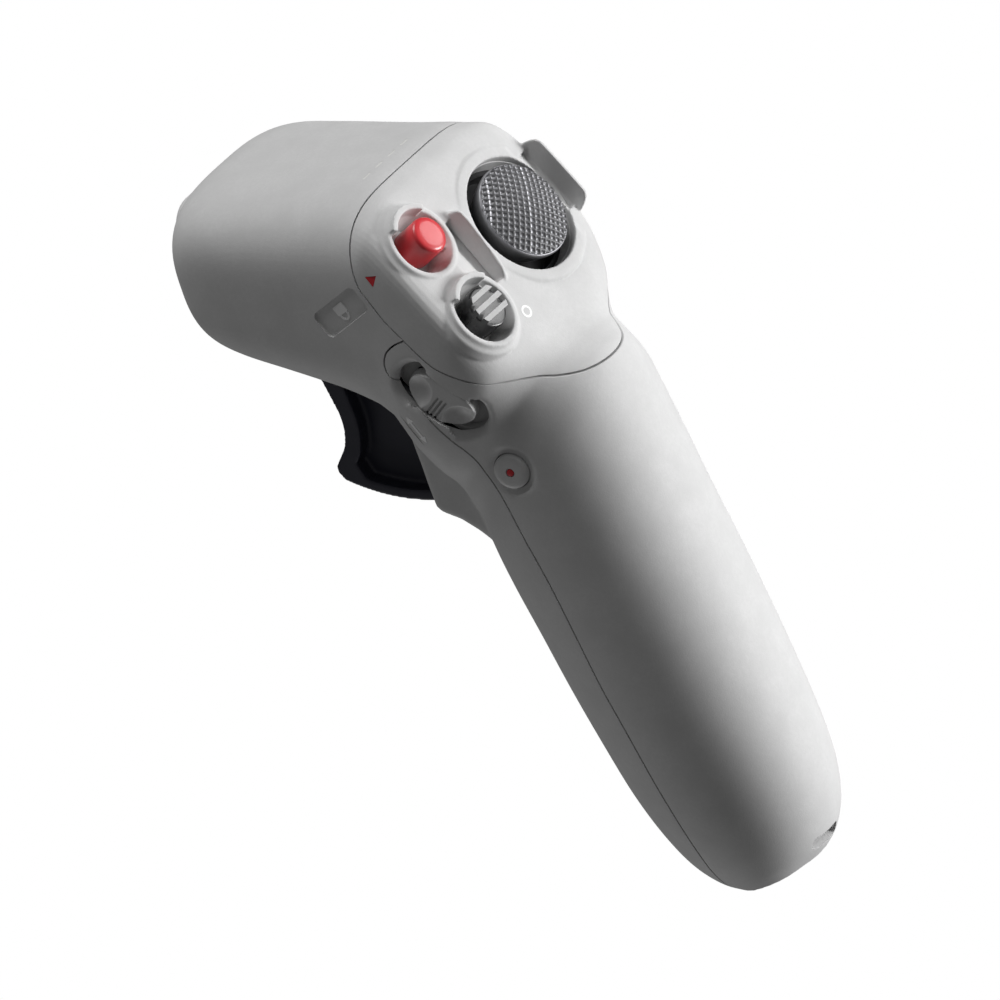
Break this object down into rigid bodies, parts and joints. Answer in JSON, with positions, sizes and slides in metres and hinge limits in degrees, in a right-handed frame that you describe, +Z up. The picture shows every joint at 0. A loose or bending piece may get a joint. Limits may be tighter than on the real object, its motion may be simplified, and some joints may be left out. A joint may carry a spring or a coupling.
{
  "type": "radio transmitter controller",
  "caption": "One-hand motion controller: short barrel with a sloped control panel, thumb joystick, round buttons, side slider, and a finger trigger ahead of a leaning pistol grip.",
  "frame": {"origin": "grip point on the handle's axis, level with the middle of the grip", "axes": "+Z up with the barrel level, +Y towards the nose of the barrel, +X to the holder's right"},
  "size_m": [0.0552, 0.1055, 0.163],
  "materials": {
    "shell_grey": "fine-grained matte warm grey",
    "panel_grey": "fine-grained matte light grey",
    "stick_dark": "knurled satin dark grey",
    "well_black": "matte black",
    "lock_red": "smooth red",
    "button_black": "satin near-black",
    "button_grey": "satin grey",
    "mark_red": "red inlay",
    "trigger_black": "satin black",
    "light_guide": "translucent white",
    "board_green": "solder mask",
    "chip_black": "moulded black",
    "frame_black": "glass-filled black",
    "cell_blue": "shrink wrap",
    "antenna_film": "amber film",
    "steel": "plain steel",
    "tin": "tinned sheet",
    "magnet_nickel": "nickel plate"
  },
  "bodies": {
    "body": {"control_panel": "panel_grey", "nose_cover": "shell_grey", "pointer_mark": "mark_red", "front_shell": "shell_grey", "rear_shell": "shell_grey", "lanyard_bar": "steel", "joystick_module": "chip_black", "well_liner": "well_black", "lock_switch": "chip_black", "mode_switch": "chip_black", "slider_plate": "button_grey", "slider_switch": "tin", "record_switch": "chip_black", "power_switch": "chip_black", "trigger_pin": "steel", "trigger_spring": "steel", "magnet_sensor_board": "board_green", "inner_frame": "frame_black", "frame_screw_1": "steel", "frame_screw_2": "steel", "control_board": "board_green", "board_screw_1": "steel", "board_screw_2": "steel", "board_screw_3": "steel", "radio_board": "board_green", "radio_shield": "tin", "antenna_left": "antenna_film", "antenna_right": "antenna_film", "motion_sensor": "chip_black", "vibration_motor": "steel", "buzzer": "chip_black", "level_light_guide": "light_guide", "level_light_board": "board_green", "battery_cell": "cell_blue", "battery_cradle": "frame_black", "main_board": "board_green", "main_chip": "chip_black", "end_cap": "shell_grey", "usb_c_inlet": "tin", "end_cap_screw": "steel"},
    "stick": {"joystick_cap": "stick_dark"},
    "stick_gimbal": {"joystick_yoke": "frame_black"},
    "lock": {"lock_button": "lock_red"},
    "mode": {"mode_button": "button_black"},
    "slider": {"tilt_slider": "button_grey"},
    "record": {"record_button": "button_grey", "record_dot": "mark_red"},
    "power": {"power_button": "button_grey"},
    "trigger": {"trigger": "trigger_black", "trigger_magnet": "magnet_nickel"}
  },
  "joints": [
    {"name": "stick_fore_aft", "type": "hinge", "parent": "body", "child": "stick_gimbal", "pos_m": [0.0106, 0.02054, 0.08367], "axis": [1, 0, 0], "range_deg": [-12, 12], "stiffness_Nm_per_rad": 0.02},
    {"name": "stick_side", "type": "hinge", "parent": "stick_gimbal", "child": "stick", "pos_m": [0.0106, 0.02054, 0.08367], "axis": [0, -0.5429, -0.8398], "range_deg": [-12, 12], "stiffness_Nm_per_rad": 0.02},
    {"name": "lock_press", "type": "slide", "parent": "body", "child": "lock", "axis": [0, 0.8398, -0.5429], "range_m": [0, 0.0008], "stiffness_N_per_m": 400},
    {"name": "mode_press", "type": "slide", "parent": "body", "child": "mode", "axis": [0, 0.8398, -0.5429], "range_m": [0, 0.0008], "stiffness_N_per_m": 400},
    {"name": "record_press", "type": "slide", "parent": "body", "child": "record", "axis": [0.99, 0.14, -0.015], "range_m": [0, 0.0006], "stiffness_N_per_m": 400},
    {"name": "power_press", "type": "slide", "parent": "body", "child": "power", "axis": [-1, 0, 0], "range_m": [0, 0.0006], "stiffness_N_per_m": 400},
    {"name": "tilt_slide", "type": "slide", "parent": "body", "child": "slider", "axis": [0.2319, -0.6258, -0.7447], "range_m": [-0.0022, 0.0022], "stiffness_N_per_m": 200},
    {"name": "trigger_pull", "type": "hinge", "parent": "body", "child": "trigger", "pos_m": [0, 0.0419, 0.077], "axis": [-1, 0, 0], "range_deg": [0, 15], "stiffness_Nm_per_rad": 0.08, "springref_deg": -6.88, "deforming": ["trigger_spring"]}
  ]
}
